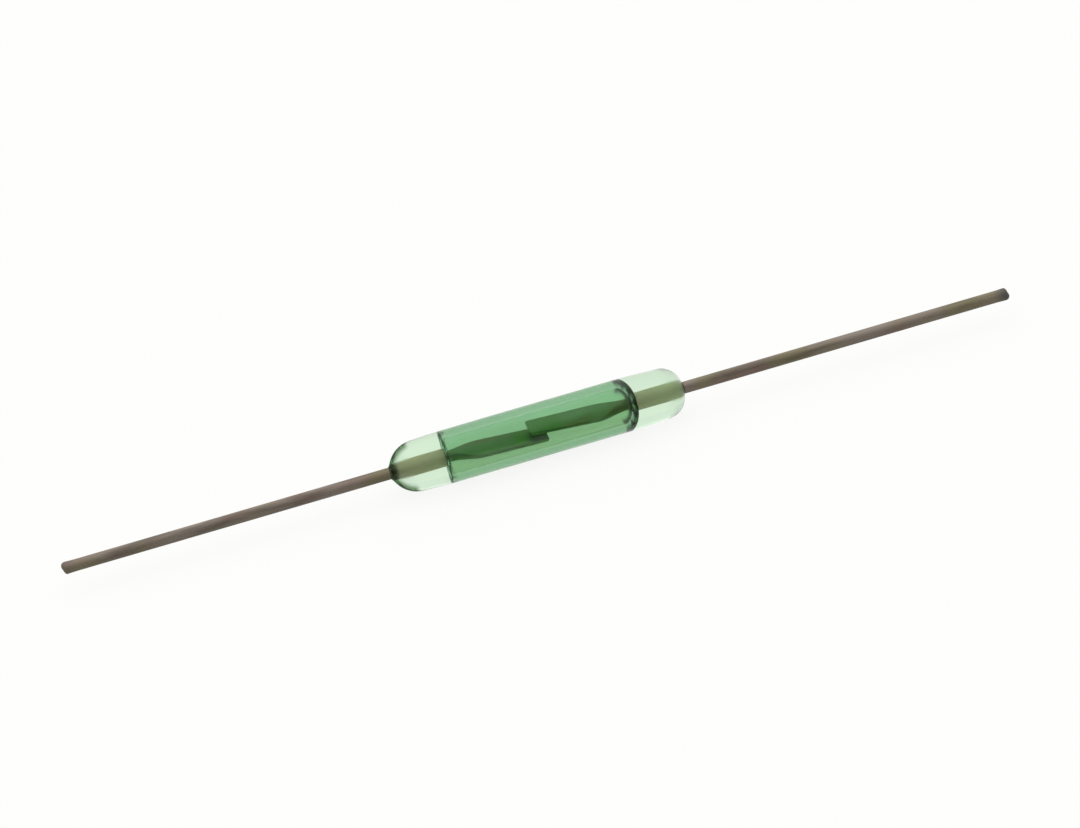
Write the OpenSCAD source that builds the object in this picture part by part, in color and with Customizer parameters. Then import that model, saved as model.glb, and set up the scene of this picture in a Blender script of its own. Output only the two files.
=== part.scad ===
// Glass reed switch: two pressed wires, sealed into the ends of a glass tube.
// The wires run along X. Their blades lie level, one over the other at the middle of the chamber.

/* [Glass] */
// Length of the glass from end to end
glass_len = 10.1; // [9:0.1:14]
// Outside diameter of the glass around the chamber
glass_d = 1.8; // [1.7:0.05:2.4]
// Thickness of the glass around the chamber
glass_wall = 0.27; // [0.2:0.01:0.35]
// Length of the drawn-in glass over each seal
drawn_len = 1.8; // [1.4:0.05:2.4]
// Slope of the drawn-in glass, in degrees
drawn_slope = 2.5; // [0.5:0.1:4]
// Radius of the melted nose at the left end, from the wire to the drawn-in glass
left_nose = 1; // [0.65:0.05:1.4]
// Radius of the melted nose at the right end
right_nose = 0.7; // [0.65:0.05:1.4]

/* [Chamber] */
// Length of the solid seal at the left end
left_seal = 1.85; // [1.6:0.01:2.4]
// Length of the solid seal at the right end, to the top of its hollow
right_seal = 1.63; // [1.4:0.01:2.4]
// Rounding of the chamber at its left end
left_round = 0.14; // [0.08:0.02:0.4]
// Rounding of the chamber at its right end, blown hollow as the second seal was melted
right_round = 0.56; // [0.1:0.02:0.6]

/* [Leads] */
// Diameter of the plated lead outside the glass
lead_d = 0.4; // [0.3:0.01:0.5]
// Diameter of the bare wire where it comes into the chamber
wire_d = 0.39; // [0.3:0.01:0.48]
// Length of each lead outside the glass
lead_len = 11.35; // [6:0.05:20]
// Bevel around the cut end of each lead
cut_bevel = 0.05; // [0.01:0.005:0.08]

/* [Reeds] */
// Length of wire that stays round inside the chamber
root_len = 0.2; // [0.05:0.05:0.4]
// Length over which the round wire becomes a flat blade
press_len = 1; // [0.7:0.05:1.4]
// Width of the blade where its pressing ends
blade_w = 1; // [0.7:0.05:1.05]
// Width of the blade at its tip
tip_w = 0.85; // [0.6:0.05:1]
// Thickness of the blade
blade_t = 0.14; // [0.1:0.01:0.2]
// Length of the blades' overlap
overlap = 0.58; // [0.3:0.01:1]
// Open gap between the blades' contact faces
contact_gap = 0.2; // [0.08:0.01:0.25]
// Radius of the corners at the blade's tip
tip_round = 0.08; // [0.04:0.01:0.2]

/* [Hidden] */
$fn = 96;

glass_color = [0.55, 0.74, 0.58, 0.5];
lead_color = [0.43, 0.39, 0.35];
blade_color = [0.56, 0.55, 0.52];

// Where the glass and the chamber end, measured from the middle
glass_x = glass_len / 2;
left_x = glass_x - left_seal;
right_x = glass_x - right_seal;
glass_r = glass_d / 2;
chamber_r = glass_r - glass_wall;

// A melted nose is an arc from the wire, at the end of the glass, to the line of the drawn-in slope.
// The wire lies nose_depth below that line, and nose_end along it from where the drawing starts.
drawn_x = glass_x - drawn_len;
nose_depth = (glass_r - lead_d / 2) * cos(drawn_slope) - drawn_len * sin(drawn_slope);
nose_end = (glass_r - lead_d / 2) * sin(drawn_slope) + drawn_len * cos(drawn_slope);

// Pressing starts at press_x, the root where a blade flexes, and the blade is flat from blade_x on
press_x = min(left_x, right_x) - root_len;
blade_x = press_x - press_len;
tip_x = overlap / 2;
press_steps = 8;

// The blades' mid-planes slope by tilt, so that they pass each other a gap apart at the middle
half_pitch = (blade_t + contact_gap) / 2;
tilt = asin(half_pitch / (blade_x + press_len / 2));

// Past the ends of a cut, or of a shape that another one trims
past = 1;
// The pressing dies start this far outside the round wire
die_clear = 0.012;

// Ease from 0 to 1 with level ends
function ease(u) = u * u * (3 - 2 * u);
function between(a, b, u) = a + (b - a) * u;

// Along the pressed stretch, u goes from 0 at the round wire to 1 at the flat blade
function press_at(u) = between(-press_x, -blade_x, u);
function press_slope(u) = atan(tan(tilt) * u);
function press_mid_z(u) = -tan(tilt) * press_len * u * u / 2;
function press_half_t(u) = between(wire_d / 2 + die_clear, blade_t / 2, ease(u));
// The metal spreads until it has passed the blade's edges
function spread_r() = norm([blade_w / 2, blade_t / 2 - press_mid_z(1)]) + die_clear;
function press_r(u) = between(wire_d / 2, spread_r(), ease(u));
// A point on the upper (side 1) or lower (side -1) face of the pressed stretch, in the XZ plane
function press_face(u, side) = [press_at(u), press_mid_z(u)]
    + side * press_half_t(u) * [sin(press_slope(u)), cos(press_slope(u))];
// A point on a face of the flat blade, this far past the end of the pressed stretch
function blade_face(reach, side) = press_face(1, side) + reach * [cos(tilt), -sin(tilt)];

// The nose's arc is no tighter than its depth, so that it does not overhang the wire
function nose_r(nose) = max(nose, nose_depth);
// How far along the slope's line the arc leaves it
function nose_start(nose) = nose_end - sqrt(nose_depth * (2 * nose_r(nose) - nose_depth));
// A point this far along the slope's line and this deep below it
function below_slope(run, depth) = [glass_r, drawn_x]
    + [[-sin(drawn_slope), -cos(drawn_slope)], [cos(drawn_slope), -sin(drawn_slope)]] * [run, depth];

// The wire in the seal narrows from the plated lead to the bare wire
function seal_wire(chamber_x) = [[lead_d / 2, -glass_x], [wire_d / 2, -chamber_x]];

// Turns a profile of radius and length about the X axis
module turned() rotate([0, 90, 0]) rotate_extrude() children();

// The right reed is the left one turned half round, so that its blade comes over the other
module half_turn() rotate([0, 180, 0]) children();

// A rounded corner of a profile: an arc about [r, x], with the solid behind it kept off the axis' far side
module corner(r, x, round_r) intersection() {
    translate([r, x]) circle(round_r);
    translate([0, x - round_r - past]) square([r + round_r + past, 2 * (round_r + past)]);
}

// Half of the glass's outside, from its middle to the end with this nose
module glass_half(nose) {
    slope_end = below_slope(nose_start(nose), 0);
    centre = below_slope(nose_start(nose), nose_r(nose));
    polygon([[0, 0], [glass_r, 0], [glass_r, drawn_x], slope_end, [0, slope_end[1]]]);
    corner(centre[0], centre[1], nose_r(nose));
}

// Half of the chamber, from the middle to an end whose corner is rounded
module chamber_half(end_x, round_r) {
    square([chamber_r, end_x - round_r]);
    corner(chamber_r - round_r, end_x - round_r, round_r);
    if (round_r < chamber_r) square([chamber_r - round_r, end_x]);
}

// The hole that the wire fills in the left seal, open past both of its ends
module seal_hole(chamber_x) {
    line = seal_wire(chamber_x);
    polygon([
        [0, -glass_x - past], [line[0][0], -glass_x - past], line[0],
        line[1], [line[1][0], -chamber_x + past], [0, -chamber_x + past],
    ]);
}

module glass_envelope() color(glass_color) turned() difference() {
    union() {
        glass_half(right_nose);
        mirror([0, 1]) glass_half(left_nose);
    }
    mirror([0, 1]) chamber_half(left_x, left_round);
    chamber_half(right_x, right_round);
    seal_hole(left_x);
    mirror([0, 1]) seal_hole(right_x);
}

// Round wire, from its cut end to the root of the blade
module lead(chamber_x) color(lead_color) turned() polygon(concat(
    [
        [0, -glass_x - lead_len],
        [lead_d / 2 - cut_bevel, -glass_x - lead_len],
        [lead_d / 2, -glass_x - lead_len + cut_bevel],
    ],
    seal_wire(chamber_x),
    [[wire_d / 2, -press_x], [0, -press_x]]
));

// The metal that the pressing spreads: round at the root, then wider than the blade
module spread_metal() turned() polygon(concat(
    [[0, -press_x]],
    [for (i = [0:press_steps]) [press_r(i / press_steps), press_at(i / press_steps)]],
    [[glass_r, -blade_x], [glass_r, tip_x + past], [0, tip_x + past]]
));

// What the pressing dies leave, seen from the side
module pressed_side() rotate([90, 0, 0]) linear_extrude(glass_d, center = true) polygon(concat(
    [for (i = [0:press_steps]) press_face(i / press_steps, 1)],
    [blade_face(blade_x + tip_x + past, 1), blade_face(blade_x + tip_x + past, -1)],
    [for (i = [press_steps:-1:0]) press_face(i / press_steps, -1)]
));

// What is cut from a corner of the blade's tip to round it
module tip_corner() translate([tip_x - tip_round, tip_w / 2 - tip_round]) difference() {
    square(tip_round + past);
    circle(tip_round);
}

// The blade's plan: it narrows from the end of the pressing to its tip, which has rounded corners
module blade_plan() linear_extrude(glass_d, center = true) difference() {
    side = [
        [-press_x - past, blade_w / 2], [-blade_x, blade_w / 2],
        [tip_x - tip_round, tip_w / 2], [tip_x, tip_w / 2],
    ];
    polygon(concat(side, [for (i = [len(side) - 1:-1:0]) [side[i][0], -side[i][1]]]));
    tip_corner();
    mirror([0, 1]) tip_corner();
}

module blade() color(blade_color) intersection() {
    spread_metal();
    pressed_side();
    blade_plan();
}

module left_lead() lead(left_x);
module left_blade() blade();
module right_lead() half_turn() lead(right_x);
module right_blade() half_turn() blade();

glass_envelope();
left_lead();
left_blade();
right_lead();
right_blade();
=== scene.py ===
"""Looks of a glass reed switch: two pressed wire reeds, sealed into the ends of a green glass tube.

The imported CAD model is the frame. Each of its pieces is replaced by a finer surface of the same sizes,
worked out with numpy: the glass is one closed profile turned about the X axis, and each reed is one section
carried along X.
"""

import logging
import math
from dataclasses import dataclass
from enum import Enum
from typing import Any, Union

import bpy
import numpy as np
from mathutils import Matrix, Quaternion, Vector


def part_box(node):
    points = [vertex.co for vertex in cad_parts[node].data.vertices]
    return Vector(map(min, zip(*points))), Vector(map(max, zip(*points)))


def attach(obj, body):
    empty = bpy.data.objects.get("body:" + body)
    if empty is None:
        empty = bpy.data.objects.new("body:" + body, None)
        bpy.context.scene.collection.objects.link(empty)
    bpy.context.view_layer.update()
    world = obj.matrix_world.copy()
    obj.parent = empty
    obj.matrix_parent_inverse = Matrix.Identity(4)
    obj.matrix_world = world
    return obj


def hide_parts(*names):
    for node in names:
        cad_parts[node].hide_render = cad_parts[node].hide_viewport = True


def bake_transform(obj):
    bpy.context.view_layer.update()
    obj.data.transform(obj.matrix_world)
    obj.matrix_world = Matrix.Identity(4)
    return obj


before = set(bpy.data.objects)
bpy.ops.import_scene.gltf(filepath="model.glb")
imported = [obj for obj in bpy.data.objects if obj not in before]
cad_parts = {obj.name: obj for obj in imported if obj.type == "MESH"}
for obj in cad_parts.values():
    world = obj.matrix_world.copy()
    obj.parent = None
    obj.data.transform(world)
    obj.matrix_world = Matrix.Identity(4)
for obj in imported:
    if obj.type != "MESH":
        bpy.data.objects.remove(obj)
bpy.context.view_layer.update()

MM = 0.001
GLASS_INDEX = 1.54
log = logging.getLogger("reed_switch")

Triple = tuple[float, float, float]
Colour = Triple
# A span says where a smooth step starts and where it ends.
Span = tuple[float, float]
Value = Union["Field", float]


class Side(Enum):
    """One of the two reeds, by the sign of the X axis that its lead points along."""

    LEFT = -1
    RIGHT = 1

    @property
    def word(self) -> str:
        """The side's name as the frame's nodes and bodies spell it."""
        return self.name.lower()


class Field:
    """A socket of a shader, whose arithmetic adds Math nodes to that shader."""

    def __init__(self, shader: "Shader", socket: bpy.types.NodeSocket) -> None:
        """Keeps the socket and the shader it belongs to."""
        self.shader = shader
        self.socket = socket

    def math(self, operation: str, *values: Value) -> "Field":
        """Adds one Math node.

        Args:
            operation: the Math node's operation.
            values: what its sockets hold, in order.

        Returns:
            The node's result.
        """
        return self.shader.node("ShaderNodeMath", {"operation": operation}, dict(enumerate(values)))

    def __add__(self, other: Value) -> "Field":
        """self + other."""
        return self.math("ADD", self, other)

    def __radd__(self, other: Value) -> "Field":
        """other + self."""
        return self.math("ADD", other, self)

    def __sub__(self, other: Value) -> "Field":
        """self - other."""
        return self.math("SUBTRACT", self, other)

    def __rsub__(self, other: Value) -> "Field":
        """other - self."""
        return self.math("SUBTRACT", other, self)

    def __mul__(self, other: Value) -> "Field":
        """self * other."""
        return self.math("MULTIPLY", self, other)

    def __rmul__(self, other: Value) -> "Field":
        """other * self."""
        return self.math("MULTIPLY", other, self)

    def __abs__(self) -> "Field":
        """The size of self without its sign."""
        return self.math("ABSOLUTE", self)

    def most(self, other: Value) -> "Field":
        """The larger of self and other."""
        return self.math("MAXIMUM", self, other)


@dataclass(frozen=True)
class Pattern:
    """A soft noise: its blotches in a millimetre along each axis, its finer layers, and where it starts."""

    per_mm: Triple
    layers: float
    shift: Triple = (0.0, 0.0, 0.0)


class Shader:
    """The node tree of one material or of the world, emptied and filled again."""

    def __init__(self, owner: Union[bpy.types.Material, bpy.types.World]) -> None:
        """Empties the owner's tree, so that it is ready for new nodes.

        Args:
            owner: the material or the world.
        """
        owner.use_nodes = True
        self.tree = owner.node_tree
        self.tree.nodes.clear()

    def node(
        self,
        kind: str,
        settings: dict[str, Any] | None = None,
        sockets: dict[str | int, Any] | None = None,
        output: str | int = 0,
    ) -> Field | None:
        """Adds a node of any type.

        Args:
            kind: the node's type.
            settings: properties that are set before the sockets.
            sockets: values or fields for its inputs, by name or number.
            output: which of its outputs is wanted.

        Returns:
            The wanted output, or nothing where the node has none.
        """
        made = self.tree.nodes.new(kind)
        for name, value in (settings or {}).items():
            setattr(made, name, value)
        for key, value in (sockets or {}).items():
            if isinstance(value, Field):
                self.tree.links.new(value.socket, made.inputs[key])
            else:
                made.inputs[key].default_value = value
        return Field(self, made.outputs[output]) if len(made.outputs) else None

    def along(self, axis: str) -> Field:
        """A point's X, Y or Z in the object's own frame, in metres."""
        point = self.node("ShaderNodeTexCoord", output="Object")
        return self.node("ShaderNodeSeparateXYZ", sockets={"Vector": point}, output=axis)

    def noise(self, pattern: Pattern) -> Field:
        """Soft noise on the object's own frame.

        Args:
            pattern: how fine the noise is, and where it starts.

        Returns:
            The noise, which lies around 0.5.
        """
        point = self.node("ShaderNodeTexCoord", output="Object")
        scale = tuple(count / MM for count in pattern.per_mm)
        placed = self.node(
            "ShaderNodeMapping", sockets={"Vector": point, "Scale": scale, "Location": pattern.shift}
        )
        return self.node(
            "ShaderNodeTexNoise", sockets={"Vector": placed, "Scale": 1.0, "Detail": pattern.layers}
        )

    def step(self, value: Field, start: float, end: float) -> Field:
        """Goes smoothly from 0 where a value is at start to 1 where it is at end."""
        return self.node(
            "ShaderNodeMapRange",
            {"interpolation_type": "SMOOTHSTEP"},
            {"Value": value, "From Min": start, "From Max": end},
        )

    def edge_on(self) -> Field:
        """0 where the surface faces the view, and 1 where it is seen edge on."""
        return self.node("ShaderNodeLayerWeight", output="Facing")

    def mix(self, factor: Value, first: Field | Colour, second: Field | Colour) -> Field:
        """Mixes two colours, from the first at factor 0 to the second at factor 1."""
        ends = [end if isinstance(end, Field) else (*end, 1.0) for end in (first, second)]
        return self.node("ShaderNodeMix", {"data_type": "RGBA"}, {0: factor, 6: ends[0], 7: ends[1]}, 2)

    def blend(self, factor: Field, first: Field, second: Field) -> Field:
        """Mixes two shaders, from the first at factor 0 to the second at factor 1."""
        return self.node("ShaderNodeMixShader", sockets={0: factor, 1: first, 2: second})

    def glass(self, colour: Colour) -> Field:
        """A smooth glass of one colour."""
        return self.node(
            "ShaderNodeBsdfGlass", sockets={"Color": (*colour, 1.0), "Roughness": 0.0, "IOR": GLASS_INDEX}
        )

    def bump(self, height: Field, depth: float) -> Field:
        """A normal tilted as if the height's range from 0 to 1 were a depth in metres."""
        return self.node("ShaderNodeBump", sockets={"Height": height, "Distance": depth})

    def finish(self, surface: Field) -> None:
        """Sends a shader to the tree's output."""
        owner = "World" if isinstance(self.tree.id_data, bpy.types.World) else "Material"
        self.node(f"ShaderNodeOutput{owner}", sockets={"Surface": surface})


def rgb(red: float, green: float, blue: float) -> Colour:
    """Turns a colour as it is seen into the linear light that shaders take.

    By the sRGB curve, a part up to 0.04045 is divided by 12.92, and a larger one is raised by 0.055, divided
    by 1.055 and taken to the power 2.4.

    Args:
        red: the red part, from 0 to 255.
        green: the green part, from 0 to 255.
        blue: the blue part, from 0 to 255.

    Returns:
        The light's three parts.
    """
    seen = np.array([red, green, blue]) / 255
    light = np.where(seen <= 0.04045, seen / 12.92, ((seen + 0.055) / 1.055) ** 2.4)
    return tuple(float(part) for part in light)


def ease(u: np.ndarray) -> np.ndarray:
    """Goes from 0 to 1 with level ends: three u squared less two u cubed."""
    u = np.clip(u, 0, 1)
    return u * u * (3 - 2 * u)


def arc(centre: tuple[float, float], radius: float, start: float, end: float, count: int) -> np.ndarray:
    """Points on an arc: the centre plus the radius times the cosine and sine of evenly spaced angles.

    Args:
        centre: the arc's centre, as (x, r).
        radius: the arc's radius.
        start: the first point's angle, in degrees.
        end: the last point's angle, in degrees.
        count: how many points there are.

    Returns:
        An array of (x, r) rows.
    """
    angle = np.radians(np.linspace(start, end, count))
    return np.column_stack([centre[0] + radius * np.cos(angle), centre[1] + radius * np.sin(angle)])


def closed_mesh(name: str, rings: np.ndarray, looped: bool) -> bpy.types.Object:
    """Makes a closed surface from rings of points, and turns its faces outwards.

    A face joins points j and j + 1 of ring i to the same points of ring i + 1, and every ring closes on
    itself. If the rings don't loop, a fan of triangles about the middle of the first and of the last ring
    closes the ends. The sum of the faces' volumes towards the origin tells whether the faces point outwards.

    Args:
        name: the object's name.
        rings: the points, as an array of rings by points by three.
        looped: whether the last ring joins the first.

    Returns:
        The new object, smooth shaded, in the scene.
    """
    count, around = rings.shape[:2]
    points = rings.reshape(-1, 3)
    start = np.arange(count if looped else count - 1)[:, None] * around
    here, after = np.arange(around)[None, :], (np.arange(around)[None, :] + 1) % around
    corners = (start + here, start + after, start + around + after, start + around + here)
    quads = np.stack([corner % (count * around) for corner in corners], axis=-1).reshape(-1, 4)
    size = np.einsum("ij,ij->i", points[quads[:, 0]], np.cross(points[quads[:, 1]], points[quads[:, 2]]))
    size += np.einsum("ij,ij->i", points[quads[:, 0]], np.cross(points[quads[:, 2]], points[quads[:, 3]]))
    faces = quads.tolist()
    if not looped:
        last = (count - 1) * around
        points = np.vstack([points, rings[0].mean(axis=0), rings[-1].mean(axis=0)])
        first_pole, last_pole = np.full(around, count * around), np.full(around, count * around + 1)
        faces += np.column_stack([after[0], here[0], first_pole]).tolist()
        faces += np.column_stack([last + here[0], last + after[0], last_pole]).tolist()
    if size.sum() < 0:
        faces = [face[::-1] for face in faces]
    mesh = bpy.data.meshes.new(name)
    mesh.from_pydata(points.tolist(), [], faces)
    mesh.polygons.foreach_set("use_smooth", np.ones(len(faces), bool))
    mesh.update()
    made = bpy.data.objects.new(name, mesh)
    bpy.context.scene.collection.objects.link(made)
    return made


@dataclass(frozen=True)
class SealGlass:
    """Clear pale green glass, with the faint ripple of a drawn tube.

    Its melted noses are slightly rough. The left one has a dark rim of painted shade where it is seen edge
    on.
    Lengths are from the glass's end.
    """

    name: str = "seal_glass"
    tint: Colour = (0.69, 0.875, 0.67)
    tint_swirl: Colour = (0.63, 0.79, 0.63)
    # painted shade: the dark glass of the left nose's rim, where it is seen edge on
    nose: Colour = (0.24, 0.34, 0.22)
    gloss: float = 0.4
    streaks: Pattern = Pattern((-0.25, 1.6, 1.6), layers=2.0)
    swirl_at: Span = (0.35, 0.7)
    ripple: float = 0.0004 * MM
    # where the left nose's painted shade begins and ends: by how edge on it is seen, then by length from the
    # end
    nose_shade_rim: Span = (0.25, 0.55)
    nose_shade_reach: Span = (0.6 * MM, 0.8 * MM)
    melt_rough: float = 0.26
    melt_from: Span = (0.85 * MM, 0.45 * MM)

    def material(self, glass_end: float) -> bpy.types.Material:
        """Makes the material.

        Args:
            glass_end: how far from the middle the glass ends.

        Returns:
            The new material.
        """
        made = bpy.data.materials.new(self.name)
        shader = Shader(made)
        along = shader.along("X")
        streaks = shader.noise(self.streaks)
        melted = shader.step(abs(along), *(glass_end - far for far in self.melt_from))
        clear = shader.node(
            "ShaderNodeBsdfPrincipled",
            sockets={
                "Base Color": shader.mix(shader.step(streaks, *self.swirl_at), self.tint, self.tint_swirl),
                "Roughness": self.melt_rough * melted,
                "IOR": GLASS_INDEX,
                "Specular Tint": (self.gloss, self.gloss, self.gloss, 1.0),
                "Transmission Weight": 1.0,
                "Normal": shader.bump(streaks, self.ripple),
            },
        )
        # painted shade: dark glass on the left nose, where it is seen edge on
        left = 1 - shader.step(along, *(far - glass_end for far in self.nose_shade_reach))
        rim = shader.step(shader.edge_on(), *self.nose_shade_rim) * left
        shader.finish(shader.blend(rim, clear, shader.glass(self.nose)))
        return made


@dataclass(frozen=True)
class ChamberGlass:
    """The chamber's wall: green, deeper where it is seen along the glass, with painted light and shade.

    Painted light makes its lower half warmer and its upper half cooler. Painted shade darkens its melted ends
    where they are seen edge on, and at the left end it is broken into beads. Of each shaded length, from the
    end on, the full share is dark all through, and the rest fades.
    """

    name: str = "chamber_glass"
    tint: Colour = (0.532, 0.724, 0.575)
    # painted light: a warmer copy of the tint, for the lower half of the wall
    painted_light_low_tint: Colour = (0.56, 0.716, 0.537)
    deep: Colour = (0.33, 0.54, 0.375)
    # painted shade: near black glass at the chamber's ends, where they are seen edge on
    melted: Colour = (0.03, 0.07, 0.03)
    rim: Span = (0.14, 0.32)
    end_shade_rim: Span = (0.15, 0.5)
    left_full: float = 0.5
    right_full: float = 0.85
    beads: Pattern = Pattern((3.0, 5.5, 5.5), layers=0.5)
    bead_at: Span = (0.47, 0.57)
    bead_share: float = 0.75

    def material(
        self, radius: float, ends: tuple[float, float], end_shade_lengths: tuple[float, float]
    ) -> bpy.types.Material:
        """Makes the material.

        Args:
            radius: the chamber's radius.
            ends: where the chamber ends along X, at the left and the right.
            end_shade_lengths: how far from each end the painted shade reaches.

        Returns:
            The new material.
        """
        made = bpy.data.materials.new(self.name)
        shader = Shader(made)
        along = shader.along("X")
        edge_on = shader.edge_on()
        # painted shade at the chamber's ends, broken into beads at the left
        beads = self.bead_share * shader.step(shader.noise(self.beads), *self.bead_at)
        left = beads * (1 - shader.step(along, ends[0] + self.left_full * end_shade_lengths[0], ends[0] + end_shade_lengths[0]))
        right = shader.step(along, ends[1] - end_shade_lengths[1], ends[1] - self.right_full * end_shade_lengths[1])
        # painted light: the wall's lower half warmer, its upper half cooler
        high = shader.step(shader.along("Z"), -radius, radius)
        clear = shader.blend(high, shader.glass(self.painted_light_low_tint), shader.glass(self.tint))
        within = shader.node("ShaderNodeNewGeometry", output="Backfacing")
        wall = shader.blend(within * shader.step(edge_on, *self.rim), clear, shader.glass(self.deep))
        # painted shade: dark glass at the chamber's ends, where they are seen edge on
        melt = (left + right) * shader.step(edge_on, *self.end_shade_rim)
        shader.finish(shader.blend(melt, wall, shader.glass(self.melted)))
        return made


@dataclass(frozen=True)
class Wear:
    """How a wire is darkened: the length of oxide as it enters the glass, and the stain of its cut end."""

    oxide: float
    stain: float


@dataclass(frozen=True)
class ReedMetal:
    """Nickel-iron wire: dull plated lead, bare metal in the seal, pressed blade, and plated contact with
    painted shade.
    """

    name: str = "reed_metal"
    lead: Colour = rgb(144, 132, 120)
    lead_warm: Colour = rgb(138, 114, 102)
    lead_olive: Colour = rgb(134, 126, 98)
    cut_end: Colour = rgb(92, 90, 85)
    bare: Colour = rgb(192, 197, 157)
    bare_warm: Colour = rgb(194, 189, 153)
    oxide: Colour = rgb(76, 78, 44)
    blade: Colour = rgb(140, 161, 118)
    blade_warm: Colour = rgb(146, 146, 100)
    # the plated contact's tone, darker and greener as painted shade where the tips overlap
    contact: Colour = rgb(120, 158, 84)
    grime: Colour = rgb(70, 60, 46)
    line: Colour = (0.02, 0.018, 0.016)
    lines: Pattern = Pattern((0.12, 16.0, 16.0), layers=4.0)
    blotches: Pattern = Pattern((0.45, 1.2, 1.2), layers=3.0)
    drift: Pattern = Pattern((0.3, 0.4, 0.4), layers=2.0, shift=(3.0, 1.0, 7.0))
    streaks: Pattern = Pattern((0.5, 4.0, 4.0), layers=3.0, shift=(5.0, 2.0, 4.0))
    lead_warm_at: Span = (0.45, 0.7)
    lead_olive_at: Span = (0.47, 0.6)
    bare_warm_at: Span = (0.42, 0.6)
    blade_warm_at: Span = (0.5, 0.68)
    grime_at: Span = (0.42, 0.7)
    grime_share: float = 0.45
    line_share: float = 0.12
    cut_stain: Span = (0.6 * MM, 0.1 * MM)
    seal_fade: float = 0.25 * MM
    entry_fade: float = 0.05 * MM
    oxide_full: float = 0.6
    # where the contact's tone and its painted shade begin and end, measured from the middle
    contact_and_shade_at: Span = (1.0 * MM, 0.62 * MM)
    blade_metallic: float = 0.95
    seal_metallic: float = 0.2
    lead_metallic: float = 0.35
    rough: float = 0.4
    rough_blotch: float = 0.22
    rough_wire: float = 0.1
    draw_depth: float = 0.004 * MM

    def material(
        self, glass_end: float, lead_end: float, chamber_end: float, wear: Wear
    ) -> bpy.types.Material:
        """Makes the material.

        Args:
            glass_end: how far from the middle the glass ends.
            lead_end: how far from the middle the lead is cut.
            chamber_end: how far from the middle the chamber ends, and the seal starts.
            wear: how the wire is darkened.

        Returns:
            The new material.
        """
        made = bpy.data.materials.new(self.name)
        shader = Shader(made)
        reach = abs(shader.along("X"))
        patterns = (self.lines, self.blotches, self.drift, self.streaks)
        lines, blotches, drift, streaks = (shader.noise(pattern) for pattern in patterns)
        sealed = shader.step(reach, chamber_end - self.seal_fade, chamber_end)
        outside = shader.step(reach, glass_end - self.entry_fade, glass_end)
        lead = shader.mix(shader.step(blotches, *self.lead_warm_at), self.lead, self.lead_warm)
        lead = shader.mix(shader.step(drift, *self.lead_olive_at), lead, self.lead_olive)
        lead = shader.mix(self.grime_share * shader.step(streaks, *self.grime_at), lead, self.grime)
        cut = wear.stain * shader.step(reach, *(lead_end - far for far in self.cut_stain))
        lead = shader.mix(cut, lead, self.cut_end)
        bare = shader.mix(shader.step(drift, *self.bare_warm_at), self.bare, self.bare_warm)
        entry = shader.step(reach, glass_end - wear.oxide, glass_end - self.oxide_full * wear.oxide)
        bare = shader.mix(entry, bare, self.oxide)
        blade = shader.mix(shader.step(blotches, *self.blade_warm_at), self.blade, self.blade_warm)
        inside = shader.mix(sealed, blade, bare)
        # the contact's tone, partly painted shade, where the tips overlap
        inside = shader.mix(shader.step(reach, *self.contact_and_shade_at), inside, self.contact)
        colour = shader.mix(outside, inside, lead)
        colour = shader.mix(self.line_share * lines, colour, self.line)
        to_seal = self.seal_metallic - self.blade_metallic
        to_lead = self.lead_metallic - self.seal_metallic
        surface = shader.node(
            "ShaderNodeBsdfPrincipled",
            sockets={
                "Base Color": colour,
                "Metallic": self.blade_metallic + to_seal * sealed + to_lead * outside,
                "Roughness": self.rough + self.rough_blotch * blotches + self.rough_wire * sealed,
                "Normal": shader.bump(lines, self.draw_depth),
            },
        )
        shader.finish(surface)
        return made


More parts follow.
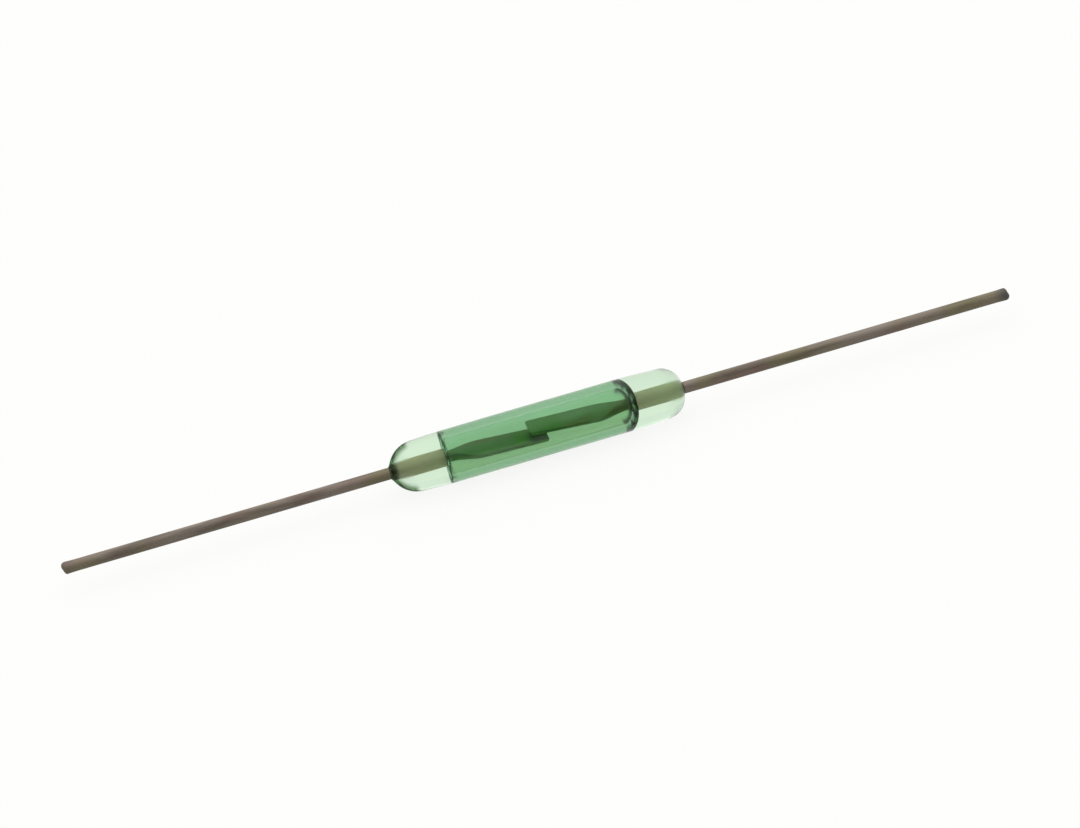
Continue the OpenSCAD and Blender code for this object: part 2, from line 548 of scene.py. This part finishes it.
@dataclass
class GlassEnvelope:
    """The glass tube: straight around the chamber, drawn in over the seals and melted round the wires."""

    seal_glass: SealGlass = SealGlass()
    chamber_glass: ChamberGlass = ChamberGlass()
    wall: float = 0.27 * MM
    drawn_length: float = 1.8 * MM
    drawn_slope: float = math.radians(2.5)
    drawn_blend: float = 0.16 * MM
    fine_length: float = 0.5 * MM
    left_nose: float = 1.0 * MM
    right_nose: float = 0.7 * MM
    left_seal: float = 1.85 * MM
    right_seal: float = 1.63 * MM
    left_round: float = 0.14 * MM
    right_round: float = 0.56 * MM
    bore: float = 0.185 * MM
    climb: float = 0.04 * MM
    # how far from each end of the chamber its painted shade reaches
    left_end_shade: float = 0.26 * MM
    right_end_shade: float = 0.6 * MM
    ripple: float = 0.002
    wave_per_mm: tuple[float, float] = (0.9, 1.7)
    wave_start: tuple[float, float] = (1.3, -0.6)
    wave_share: float = 0.7
    sides: int = 144
    nose_points: int = 49
    drawn_points: int = 40
    straight_points: int = 41
    face_points: int = 8
    corner_points: int = 33
    chamber_points: int = 80

    def __post_init__(self) -> None:
        """Takes the glass's reach and radius, and the wire's radius, from the frame."""
        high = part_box("glass_envelope")[1]
        self.reach = high.x
        self.radius = high.z
        self.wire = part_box("left_lead")[1].z
        self.chamber = self.radius - self.wall

    def drawn_half(self, nose: float) -> np.ndarray:
        """Half of the outside's profile, from the wire at its end to the middle.

        The melted end is an arc of the nose's radius, which starts at the wire and is tangent to the drawn
        slope. With the wire at a depth below the slope's line, the arc takes the square root of depth times
        twice the radius less the depth, along that line. Close to the wire the glass climbs it, by a length
        that falls off as e to the distance from the wire. The slope eases into the straight tube: the radius
        less the slope times a soft ramp, the log of one plus e to the distance past the drawing's start.

        Args:
            nose: the radius of the melted end's arc.

        Returns:
            An array of (x, r) rows.
        """
        sine, cosine = math.sin(self.drawn_slope), math.cos(self.drawn_slope)
        start = self.reach - self.drawn_length
        height = self.radius - self.wire
        depth = height * cosine - self.drawn_length * sine
        run = height * sine + self.drawn_length * cosine - math.sqrt(depth * (2 * nose - depth))
        centre = (start + run * cosine - nose * sine, self.radius - run * sine - nose * cosine)
        first = math.degrees(math.atan2(self.wire - centre[1], self.reach - centre[0]))
        melt = arc(centre, nose, first, 90 - math.degrees(self.drawn_slope), self.nose_points)
        melt[:, 0] += self.climb * np.exp((self.wire - melt[:, 1]) / self.climb)
        fine = start - self.fine_length
        drawn = np.linspace(melt[-1, 0], fine, self.drawn_points)[1:]
        x = np.concatenate([drawn, np.linspace(fine, 0, self.straight_points)[1:]])
        ramp = self.drawn_blend * np.logaddexp(0, (x - start) / self.drawn_blend)
        tube = np.column_stack([x, self.radius - math.tan(self.drawn_slope) * ramp])
        return np.vstack([melt, tube])

    def chamber_end(self, side: Side) -> float:
        """How far from the middle the chamber ends on a side."""
        return self.reach - (self.left_seal if side is Side.LEFT else self.right_seal)

    def outside(self) -> np.ndarray:
        """The outside's profile from the left wire to the right one, as an array of (x, r) rows."""
        left, right = self.drawn_half(self.left_nose), self.drawn_half(self.right_nose)
        return np.vstack([left * [-1, 1], right[-2::-1]])

    def chamber_wall(self) -> np.ndarray:
        """The chamber's profile from the right wire to the left: two ends with rounded corners, and a tube.

        A corner that is larger than the end's face starts at the wire, and leaves no flat.

        Returns:
            An array of (x, r) rows.
        """
        ends = []
        for side, corner in ((Side.RIGHT, self.right_round), (Side.LEFT, self.left_round)):
            end = self.chamber_end(side)
            centre = (end - corner, self.chamber - corner)
            start = math.degrees(math.asin(max(0.0, (self.bore - centre[1]) / corner)))
            bend = arc(centre, corner, start, 90, self.corner_points)
            flat = np.linspace(self.bore, centre[1], self.face_points)[:-1]
            face = np.column_stack([np.full(len(flat), end), flat])
            ends.append(np.vstack([face, bend]) if centre[1] > self.bore else bend)
        right, left = ends[0], ends[1] * [-1, 1]
        x = np.linspace(right[-1, 0], left[-1, 0], self.chamber_points)[1:-1]
        tube = np.column_stack([x, np.full(len(x), self.chamber)])
        return np.vstack([right, tube, left[::-1]])

    def build(self) -> bpy.types.Object:
        """Turns the closed profile about X.

        A profile point (x, r) at angle t becomes x, r cos t, r sin t. The radius is swelled by two slow waves
        along and around the tube, as drawn glass has, which fade out at the wires.

        Returns:
            The glass.
        """
        profile = np.vstack([self.outside(), self.chamber_wall()])
        angle = np.arange(self.sides) * 2 * math.pi / self.sides
        x, r = profile[:, :1], profile[:, 1:]
        first, second = (count * x / MM for count in self.wave_per_mm)
        wave = np.sin(first + self.wave_start[0] + np.sin(angle))
        wave += self.wave_share * np.cos(second + 2 * angle + self.wave_start[1])
        fade = ease((r - self.wire) / (self.chamber - self.wire))
        r = r * (1 + self.ripple * wave * fade)
        rings = np.stack([np.broadcast_to(x, r.shape), r * np.cos(angle), r * np.sin(angle)], axis=-1)
        return closed_mesh("glass_envelope_clear", rings, looped=True)

    def dress(self, glass: bpy.types.Object) -> None:
        """Gives the outside and the chamber's wall their glass, and puts the piece in the frame.

        Args:
            glass: the piece that build made.
        """
        ends = (-self.chamber_end(Side.LEFT), self.chamber_end(Side.RIGHT))
        # the lengths of the painted shade at the chamber's ends
        end_shade_lengths = (self.left_end_shade, self.right_end_shade)
        glass.data.materials.append(self.seal_glass.material(self.reach))
        glass.data.materials.append(self.chamber_glass.material(self.chamber, ends, end_shade_lengths))
        ring = np.arange(len(glass.data.polygons)) // self.sides
        inside = (ring >= len(self.outside()) - 1) & (ring < ring.max())
        glass.data.polygons.foreach_set("material_index", inside.astype(np.int32))
        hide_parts("glass_envelope")
        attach(glass, "envelope")


@dataclass
class Reed:
    """One reed: a cut round lead, the wire in the seal, and a flat blade that crosses the other's tip."""

    side: Side
    finish: ReedMetal
    wear: Wear
    chamber_end: float
    wire: float = 0.195 * MM
    press: float = 1.0 * MM
    tip_width: float = 0.85 * MM
    blade_thickness: float = 0.14 * MM
    contact_gap: float = 0.2 * MM
    tip_round: float = 0.08 * MM
    tip_bevel: float = 0.024 * MM
    cut_round: float = 0.15 * MM
    cut_slant: float = 0.05 * MM
    slant_length: float = 0.2 * MM
    cut_swell: float = 0.06
    swell_length: float = 0.5 * MM
    squareness: float = 6.0
    around: int = 64
    corner_points: int = 7
    lead_points: int = 70
    seal_points: int = 20
    blade_points: int = 48

    def __post_init__(self) -> None:
        """Takes the lead's reach and radius, the blade's sizes and the glass's end from the frame."""
        low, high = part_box("left_lead")
        self.lead_end = -low.x
        self.lead = high.z
        low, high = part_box("left_blade")
        self.root = -low.x
        self.tip = high.x
        self.blade_width = high.y - low.y
        self.glass_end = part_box("glass_envelope")[1].x
        self.flat = self.root - self.press

    def stations(self) -> np.ndarray:
        """Places along X, from the cut end to the tip: close together where the section changes fast.

        Returns:
            An array of x, from the lowest to the highest.
        """
        cut = self.lead_end - self.cut_round
        turn = np.radians(np.linspace(0, 90, self.corner_points))
        corner = self.tip - self.tip_round
        return np.concatenate(
            [
                -self.lead_end + self.cut_round * (1 - np.cos(turn)),
                np.linspace(-cut, -self.glass_end, self.lead_points)[1:],
                np.linspace(-self.glass_end, -self.root, self.seal_points)[1:],
                np.linspace(-self.root, -self.flat, self.blade_points)[1:],
                np.linspace(-self.flat, corner, self.blade_points)[1:],
                corner + self.tip_round * np.sin(turn)[1:],
            ]
        )

    def build(self) -> bpy.types.Object:
        """Carries a section along X, then turns the right reed half round about Y.

        The section at x is a rounded box: half width times the cosine, and half thickness times the sine,
        each to the power two over the squareness. It is a circle up to the root; along the pressing the
        width, thickness and squareness ease to the blade's, while the middle line bends down as a parabola
        and goes on straight, so that the two blades pass a gap apart. From the pressing to the tip the blade
        narrows evenly. The cut end is rounded, slanted and a little swollen.

        Returns:
            The reed.
        """
        x = self.stations()
        from_cut = x + self.lead_end
        pressed = ease((x + self.root) / self.press)
        seal = np.clip((x + self.glass_end) / (self.glass_end - self.root), 0, 1)
        wire = self.lead + (self.wire - self.lead) * seal
        swell = 1 + self.cut_swell * (1 - ease(from_cut / self.swell_length))
        round_end = np.sqrt(np.clip(1 - np.clip(1 - from_cut / self.cut_round, 0, 1) ** 2, 0, 1))
        wire = wire * swell - self.cut_round * (1 - round_end)
        past = np.clip((x - self.tip + self.tip_round) / self.tip_round, 0, 1)
        tip = 1 - np.sqrt(1 - past**2)
        taper = np.clip((x + self.flat) / (self.tip + self.flat), 0, 1)
        spread = (self.blade_width + (self.tip_width - self.blade_width) * taper) / 2
        half_width = wire + (spread - wire) * pressed - self.tip_round * tip
        half_thickness = wire + (self.blade_thickness / 2 - wire) * pressed - self.tip_bevel * tip
        power = 2 / (2 + (self.squareness - 2) * pressed)
        slope = (self.blade_thickness + self.contact_gap) / 2 / (self.flat + self.press / 2)
        u = np.clip((x + self.root) / self.press, 0, 1)
        middle = -slope * (self.press * u**2 / 2 + np.clip(x + self.flat, 0, None))
        angle = np.arange(self.around) * 2 * math.pi / self.around
        across = np.sign(np.cos(angle)) * np.abs(np.cos(angle)) ** power[:, None]
        upward = np.sign(np.sin(angle)) * np.abs(np.sin(angle)) ** power[:, None]
        slanted = 1 - ease(from_cut / self.slant_length)
        slant = self.cut_slant * (1 - upward) / 2 * slanted[:, None]
        points = np.stack(
            [
                x[:, None] + slant,
                half_width[:, None] * across,
                middle[:, None] + half_thickness[:, None] * upward,
            ],
            axis=-1,
        )
        if self.side is Side.RIGHT:
            points = points * [-1, 1, -1]
        return closed_mesh(f"{self.side.word}_reed_wire", points, looped=False)

    def dress(self, reed: bpy.types.Object) -> None:
        """Gives the reed its metal, hides the frame's lead and blade, and bakes the reed's placement into its
        mesh.

        Args:
            reed: the piece that build made.
        """
        metal = self.finish.material(self.glass_end, self.lead_end, self.chamber_end, self.wear)
        reed.data.materials.append(metal)
        sign = self.side.value
        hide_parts(f"{self.side.word}_lead", f"{self.side.word}_blade")
        start, end = (sign * self.root, 0, 0), (sign * self.flat, 0, 0)
        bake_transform(reed)


@dataclass
class Studio:
    """A pale floor, soft white light from above and behind, and a long lens at the photograph's angle."""

    azimuth: float = -7.74
    elevation: float = 32.76
    roll: float = 12.05
    picture: tuple[int, int] = (1080, 828)
    middle_px: tuple[float, float] = (536.7, 430.6)
    picture_width: float = 35.67 * MM
    lens: float = 600.0
    sensor: float = 36.0
    floor_half: float = 2.0
    floor_colour: Colour = (0.92, 0.92, 0.91)
    floor_bounce: Colour = (0.3, 0.3, 0.29)
    floor_white: Colour = (0.995, 0.995, 0.985)
    floor_glow: float = 0.9
    dim: float = 0.25
    wall: float = 0.7
    wall_fade: Span = (-0.5, 0.8)
    lid: float = 0.95
    lid_fade: Span = (0.35, 1.0)

    def floor(self) -> bpy.types.Object:
        """A square that the glass rests on.

        Returns:
            The floor.
        """
        height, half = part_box("glass_envelope")[0].z, self.floor_half
        corners = [(-half, -half, height), (half, -half, height), (half, half, height), (-half, half, height)]
        mesh = bpy.data.meshes.new("floor")
        mesh.from_pydata(corners, [], [(0, 1, 2, 3)])
        made = bpy.data.objects.new("floor", mesh)
        bpy.context.scene.collection.objects.link(made)
        material = bpy.data.materials.new("pale_floor")
        shader = Shader(material)
        seen = self.seen(shader)
        colour = shader.mix(seen, self.floor_bounce, self.floor_colour)
        plain = shader.node("ShaderNodeBsdfDiffuse", sockets={"Color": colour})
        glow = {"Color": (*self.floor_white, 1.0), "Strength": 1.0}
        white = shader.node("ShaderNodeEmission", sockets=glow)
        shader.finish(shader.blend(seen * self.floor_glow, plain, white))
        mesh.materials.append(material)
        return made

    def seen(self, shader: Shader) -> Field:
        """1 for the rays that show the background: from the camera, mirrored, or through glass."""
        kinds = ("Camera", "Glossy", "Transmission")
        rays = [shader.node("ShaderNodeLightPath", output=f"Is {kind} Ray") for kind in kinds]
        return rays[0].most(rays[1]).most(rays[2])

    def surroundings(self) -> None:
        """White light from a tent, whose dim front, paler back wall and bright lid fade into each other."""
        world = bpy.data.worlds.new("white_tent")
        bpy.context.scene.world = world
        shader = Shader(world)
        toward = shader.node("ShaderNodeTexCoord", output="Generated")
        turn = math.radians(self.azimuth)
        away = (-math.sin(turn), math.cos(turn), 0.0)
        dot = {"operation": "DOT_PRODUCT"}
        back = shader.node("ShaderNodeVectorMath", dot, {0: toward, 1: away}, "Value")
        up = shader.node("ShaderNodeSeparateXYZ", sockets={"Vector": toward}, output="Z")
        wall = self.wall * shader.step(back, *self.wall_fade)
        lid = self.lid * shader.step(up, *self.lid_fade)
        light = {"Color": (1.0, 1.0, 1.0, 1.0), "Strength": self.dim + wall + lid}
        shader.finish(shader.node("ShaderNodeBackground", sockets=light))

    def camera(self) -> bpy.types.Object:
        """A camera whose picture is as wide as the photograph's, at the middle of the part.

        It stands back along the view, at the distance where the lens spans the picture's width, and aims
        beside the origin so that the origin lands on its pixel.

        Returns:
            The camera.
        """
        turn, lift = math.radians(self.azimuth), math.radians(self.elevation)
        back = Vector((math.sin(turn) * math.cos(lift), -math.cos(turn) * math.cos(lift), math.sin(lift)))
        level = Vector((math.cos(turn), math.sin(turn), 0))
        tilt = Quaternion(back, -math.radians(self.roll))
        right, up = tilt @ level, tilt @ back.cross(level)
        pixel = self.picture_width / self.picture[0]
        aim = right * (self.picture[0] / 2 - self.middle_px[0]) * pixel
        aim += up * (self.middle_px[1] - self.picture[1] / 2) * pixel
        lens = bpy.data.cameras.new("camera")
        lens.lens, lens.sensor_width = self.lens, self.sensor
        made = bpy.data.objects.new("camera", lens)
        bpy.context.scene.collection.objects.link(made)
        made.location = aim + back * (self.picture_width * self.lens / self.sensor)
        made.rotation_mode = "QUATERNION"
        made.rotation_quaternion = tilt @ (-back).to_track_quat("-Z", "Y")
        bpy.context.scene.camera = made
        return made


def main() -> None:
    """Builds the glass, the reeds and the studio, in that order."""
    logging.basicConfig(level=logging.INFO, format="%(name)s: %(message)s")
    bpy.context.scene.view_settings.view_transform = "Standard"
    envelope = GlassEnvelope()
    glass = envelope.build()
    envelope.dress(glass)
    log.info("%s: %d faces", glass.name, len(glass.data.polygons))
    metal = ReedMetal()
    wear = {Side.LEFT: Wear(oxide=0.42 * MM, stain=0.25), Side.RIGHT: Wear(oxide=0.06 * MM, stain=1.0)}
    for side in Side:
        reed = Reed(side, metal, wear[side], envelope.chamber_end(side))
        wire = reed.build()
        reed.dress(wire)
        log.info("%s: %d faces", wire.name, len(wire.data.polygons))
    studio = Studio()
    studio.floor()
    studio.surroundings()
    studio.camera()


if __name__ == "__main__":
    main()
